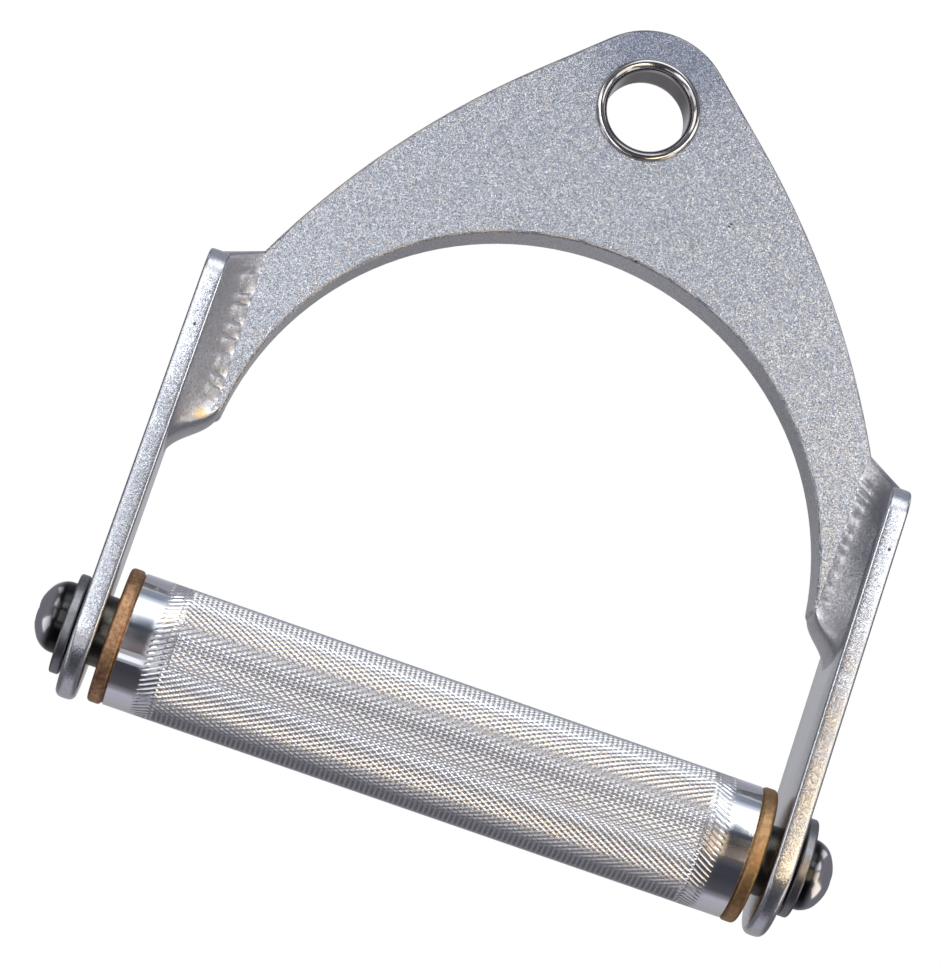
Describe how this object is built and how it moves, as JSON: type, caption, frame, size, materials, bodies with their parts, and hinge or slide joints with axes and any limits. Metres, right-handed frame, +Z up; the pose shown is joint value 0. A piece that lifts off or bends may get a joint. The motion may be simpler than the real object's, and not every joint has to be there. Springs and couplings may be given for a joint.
{
  "type": "single-hand cable handle",
  "caption": "Single-hand pulling handle: a flat arched bow with an eye for a carabiner, two side straps and a knurled grip that spins on an axle between them.",
  "frame": {"origin": "centre of the eye's bore, in the middle of the bow's thickness", "axes": "+X along the grip axis from the left strap to the right strap, +Y through the bow's thickness towards the rear, +Z up from the grip to the eye"},
  "size_m": [0.1944, 0.035, 0.1985],
  "materials": {
    "powder_coat": "fine sparkle silver powder coat, satin",
    "weld_bead": "coated weld metal, rippled, satin",
    "polished_steel": "polished stainless steel",
    "grip_steel": "polished, diamond knurled, smooth turned ends",
    "bronze": "matt sintered bronze, mottled",
    "axle_steel": "dark turned steel, oiled",
    "washer_steel": "dark grey zinc, satin",
    "screw_steel": "dark polished dome"
  },
  "bodies": {
    "frame": {"bow_plate": "powder_coat", "eye_bush": "polished_steel", "left_strap": "powder_coat", "right_strap": "powder_coat", "left_front_weld": "weld_bead", "left_rear_weld": "weld_bead", "left_top_weld": "weld_bead", "left_tip_weld": "weld_bead", "right_front_weld": "weld_bead", "right_rear_weld": "weld_bead", "right_top_weld": "weld_bead", "right_tip_weld": "weld_bead"},
    "axle": {"axle_shaft": "axle_steel", "left_washer": "washer_steel", "right_washer": "washer_steel", "left_screw": "screw_steel", "right_screw": "screw_steel"},
    "grip": {"grip_tube": "grip_steel", "left_bushing": "bronze", "right_bushing": "bronze"}
  },
  "joints": [
    {"name": "axle_float", "type": "slide", "parent": "frame", "child": "axle", "axis": [1, 0, 0], "range_m": [-0.0012, 0.0004]},
    {"name": "grip_spin", "type": "hinge", "parent": "axle", "child": "grip", "pos_m": [0, 0, -0.161], "axis": [1, 0, 0], "continuous": true}
  ]
}
